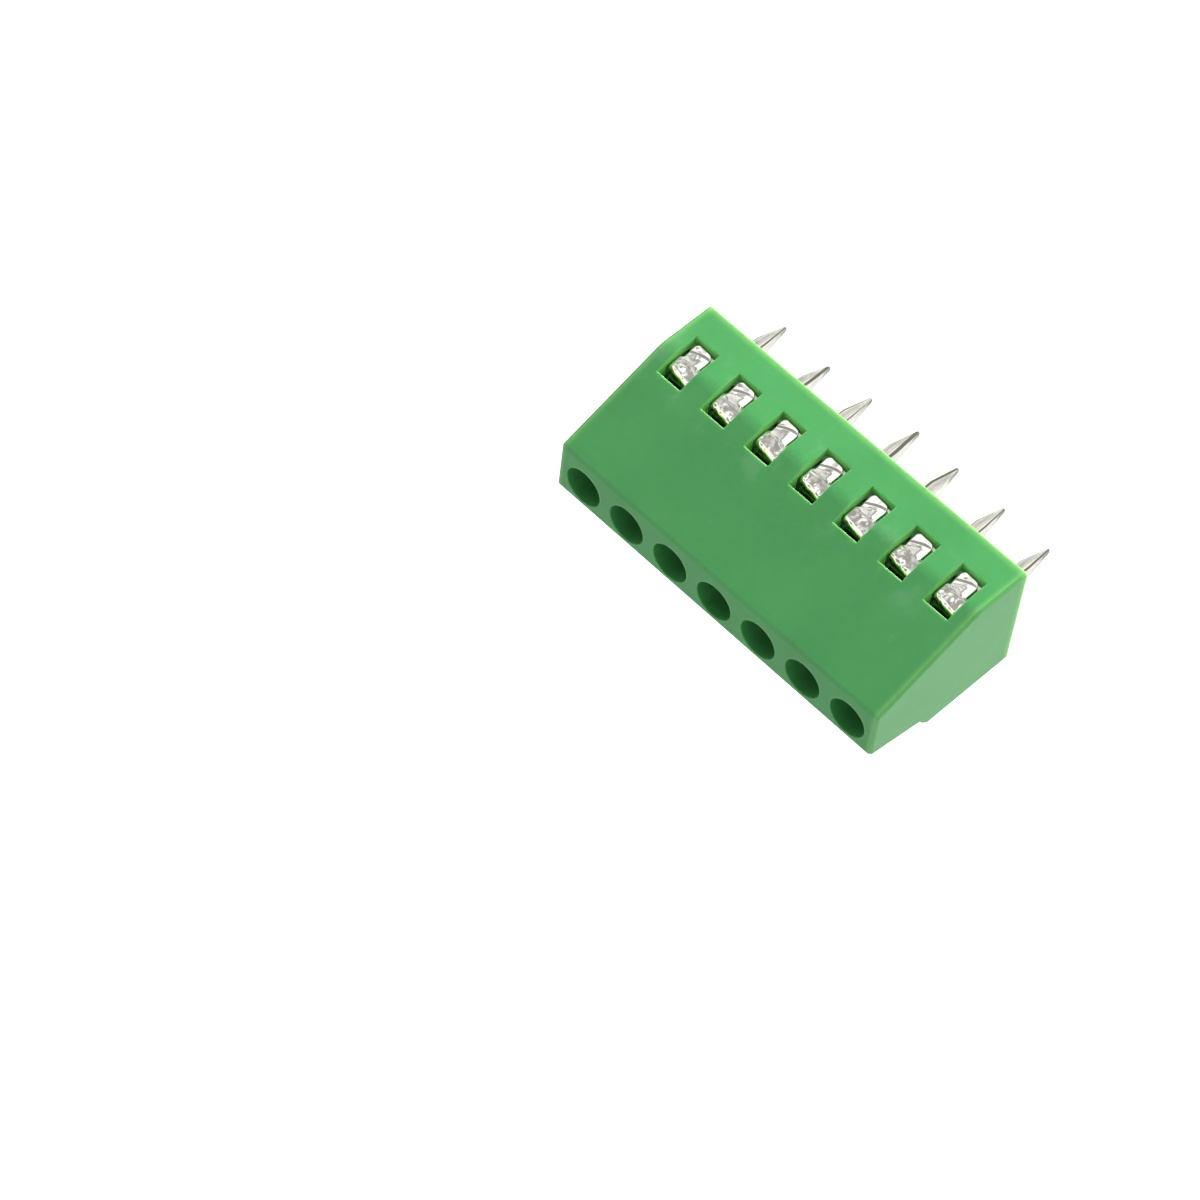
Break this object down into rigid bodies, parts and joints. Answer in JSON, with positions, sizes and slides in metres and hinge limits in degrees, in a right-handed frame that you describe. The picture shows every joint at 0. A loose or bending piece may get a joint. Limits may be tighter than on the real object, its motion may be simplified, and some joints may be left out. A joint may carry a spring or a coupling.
{
  "type": "screw terminal connector",
  "caption": "Board-mounted screw terminal connector: a row of wire entries with sprung guards, clamp screws above and solder pins below.",
  "frame": {"origin": "on the board face, in the middle of the row of poles, on the centre line of the solder pins", "axes": "+X along the row of poles, +Y from the wire windows towards the back, +Z away from the board"},
  "size_m": [0.0182, 0.0062, 0.012],
  "materials": {
    "housing": "satin moulded green",
    "contact": "bright tin plate",
    "guard": "bright sheet",
    "screw": "zinc plate"
  },
  "bodies": {
    "block": {"housing": "housing", "contact_1": "contact", "wire_guard_1": "guard", "contact_2": "contact", "wire_guard_2": "guard", "contact_3": "contact", "wire_guard_3": "guard", "contact_4": "contact", "wire_guard_4": "guard", "contact_5": "contact", "wire_guard_5": "guard", "contact_6": "contact", "wire_guard_6": "guard", "contact_7": "contact", "wire_guard_7": "guard"},
    "screw_1": {"clamp_screw_1": "screw"},
    "screw_2": {"clamp_screw_2": "screw"},
    "screw_3": {"clamp_screw_3": "screw"},
    "screw_4": {"clamp_screw_4": "screw"},
    "screw_5": {"clamp_screw_5": "screw"},
    "screw_6": {"clamp_screw_6": "screw"},
    "screw_7": {"clamp_screw_7": "screw"}
  },
  "joints": [
    {"name": "screw_1_turn", "type": "hinge", "parent": "block", "child": "screw_1", "pos_m": [-0.00762, 0.00055, 0.0065], "axis": [0, 0, 1], "range_deg": [-1260, 0]},
    {"name": "screw_2_turn", "type": "hinge", "parent": "block", "child": "screw_2", "pos_m": [-0.00508, 0.00055, 0.0065], "axis": [0, 0, 1], "range_deg": [-1260, 0]},
    {"name": "screw_3_turn", "type": "hinge", "parent": "block", "child": "screw_3", "pos_m": [-0.00254, 0.00055, 0.0065], "axis": [0, 0, 1], "range_deg": [-1260, 0]},
    {"name": "screw_4_turn", "type": "hinge", "parent": "block", "child": "screw_4", "pos_m": [0, 0.00055, 0.0065], "axis": [0, 0, 1], "range_deg": [-1260, 0]},
    {"name": "screw_5_turn", "type": "hinge", "parent": "block", "child": "screw_5", "pos_m": [0.00254, 0.00055, 0.0065], "axis": [0, 0, 1], "range_deg": [-1260, 0]},
    {"name": "screw_6_turn", "type": "hinge", "parent": "block", "child": "screw_6", "pos_m": [0.00508, 0.00055, 0.0065], "axis": [0, 0, 1], "range_deg": [-1260, 0]},
    {"name": "screw_7_turn", "type": "hinge", "parent": "block", "child": "screw_7", "pos_m": [0.00762, 0.00055, 0.0065], "axis": [0, 0, 1], "range_deg": [-1260, 0]}
  ]
}
